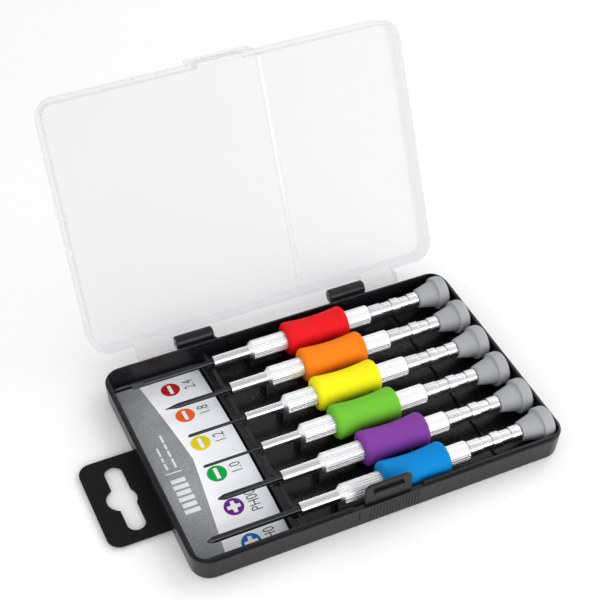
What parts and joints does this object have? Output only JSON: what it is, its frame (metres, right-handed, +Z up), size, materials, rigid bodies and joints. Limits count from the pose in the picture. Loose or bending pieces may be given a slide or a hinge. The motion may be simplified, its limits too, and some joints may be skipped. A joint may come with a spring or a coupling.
{
  "type": "precision screwdriver set",
  "caption": "Precision screwdrivers with waisted rubber grips and swivel caps in a clear-lidded case with a slide-out hang tab.",
  "frame": {"origin": "centre of the tray's underside", "axes": "+X along the screwdrivers towards their swivel caps, +Y towards the hinge, +Z up out of the tray"},
  "size_m": [0.1723, 0.1613, 0.1066],
  "materials": {
    "tray_plastic": "dark grey moulded polypropylene, fine texture",
    "tab_plastic": "black moulded polypropylene",
    "clear_plastic": "clear moulded polystyrene",
    "printed_card": "coated card, grey and silver print",
    "black_steel": "black oxide",
    "aluminium": "polished, straight knurl",
    "grey_plastic": "satin grey",
    "red_rubber": "matte soft grip",
    "orange_rubber": "matte soft grip",
    "yellow_rubber": "matte soft grip",
    "green_rubber": "matte soft grip",
    "purple_rubber": "matte soft grip",
    "blue_rubber": "matte soft grip"
  },
  "bodies": {
    "case_base": {"base_tray": "tray_plastic", "label_card": "printed_card"},
    "lid": {"lid": "clear_plastic"},
    "hang_tab": {"hanger_tab": "tab_plastic"},
    "red_driver": {"red_blade": "black_steel", "red_barrel": "aluminium", "red_sleeve": "red_rubber"},
    "red_swivel": {"red_cap": "grey_plastic"},
    "orange_driver": {"orange_blade": "black_steel", "orange_barrel": "aluminium", "orange_sleeve": "orange_rubber"},
    "orange_swivel": {"orange_cap": "grey_plastic"},
    "yellow_driver": {"yellow_blade": "black_steel", "yellow_barrel": "aluminium", "yellow_sleeve": "yellow_rubber"},
    "yellow_swivel": {"yellow_cap": "grey_plastic"},
    "green_driver": {"green_blade": "black_steel", "green_barrel": "aluminium", "green_sleeve": "green_rubber"},
    "green_swivel": {"green_cap": "grey_plastic"},
    "purple_driver": {"purple_blade": "black_steel", "purple_barrel": "aluminium", "purple_sleeve": "purple_rubber"},
    "purple_swivel": {"purple_cap": "grey_plastic"},
    "blue_driver": {"blue_blade": "black_steel", "blue_barrel": "aluminium", "blue_sleeve": "blue_rubber"},
    "blue_swivel": {"blue_cap": "grey_plastic"}
  },
  "joints": [
    {"name": "lid_hinge", "type": "hinge", "parent": "case_base", "child": "lid", "pos_m": [0, 0.05465, 0.0102], "axis": [-1, 0, 0], "range_deg": [-115.5, 0]},
    {"name": "hang_tab_slide", "type": "slide", "parent": "case_base", "child": "hang_tab", "axis": [1, 0, 0], "range_m": [0, 0.022]},
    {"name": "red_driver_lift", "type": "slide", "parent": "case_base", "child": "red_driver", "axis": [0, 0, 1], "range_m": [0, 0.04]},
    {"name": "red_cap_swivel", "type": "hinge", "parent": "red_driver", "child": "red_swivel", "pos_m": [0.0656, 0.0405, 0.0083], "axis": [1, 0, 0], "continuous": true},
    {"name": "orange_driver_lift", "type": "slide", "parent": "case_base", "child": "orange_driver", "axis": [0, 0, 1], "range_m": [0, 0.04]},
    {"name": "orange_cap_swivel", "type": "hinge", "parent": "orange_driver", "child": "orange_swivel", "pos_m": [0.0663, 0.0243, 0.0083], "axis": [1, 0, 0], "continuous": true},
    {"name": "yellow_driver_lift", "type": "slide", "parent": "case_base", "child": "yellow_driver", "axis": [0, 0, 1], "range_m": [0, 0.04]},
    {"name": "yellow_cap_swivel", "type": "hinge", "parent": "yellow_driver", "child": "yellow_swivel", "pos_m": [0.0658, 0.0081, 0.0083], "axis": [1, 0, 0], "continuous": true},
    {"name": "green_driver_lift", "type": "slide", "parent": "case_base", "child": "green_driver", "axis": [0, 0, 1], "range_m": [0, 0.04]},
    {"name": "green_cap_swivel", "type": "hinge", "parent": "green_driver", "child": "green_swivel", "pos_m": [0.0655, -0.0081, 0.0083], "axis": [1, 0, 0], "continuous": true},
    {"name": "purple_driver_lift", "type": "slide", "parent": "case_base", "child": "purple_driver", "axis": [0, 0, 1], "range_m": [0, 0.04]},
    {"name": "purple_cap_swivel", "type": "hinge", "parent": "purple_driver", "child": "purple_swivel", "pos_m": [0.0662, -0.0243, 0.0083], "axis": [1, 0, 0], "continuous": true},
    {"name": "blue_driver_lift", "type": "slide", "parent": "case_base", "child": "blue_driver", "axis": [0, 0, 1], "range_m": [0, 0.04]},
    {"name": "blue_cap_swivel", "type": "hinge", "parent": "blue_driver", "child": "blue_swivel", "pos_m": [0.0662, -0.0405, 0.0083], "axis": [1, 0, 0], "continuous": true}
  ]
}
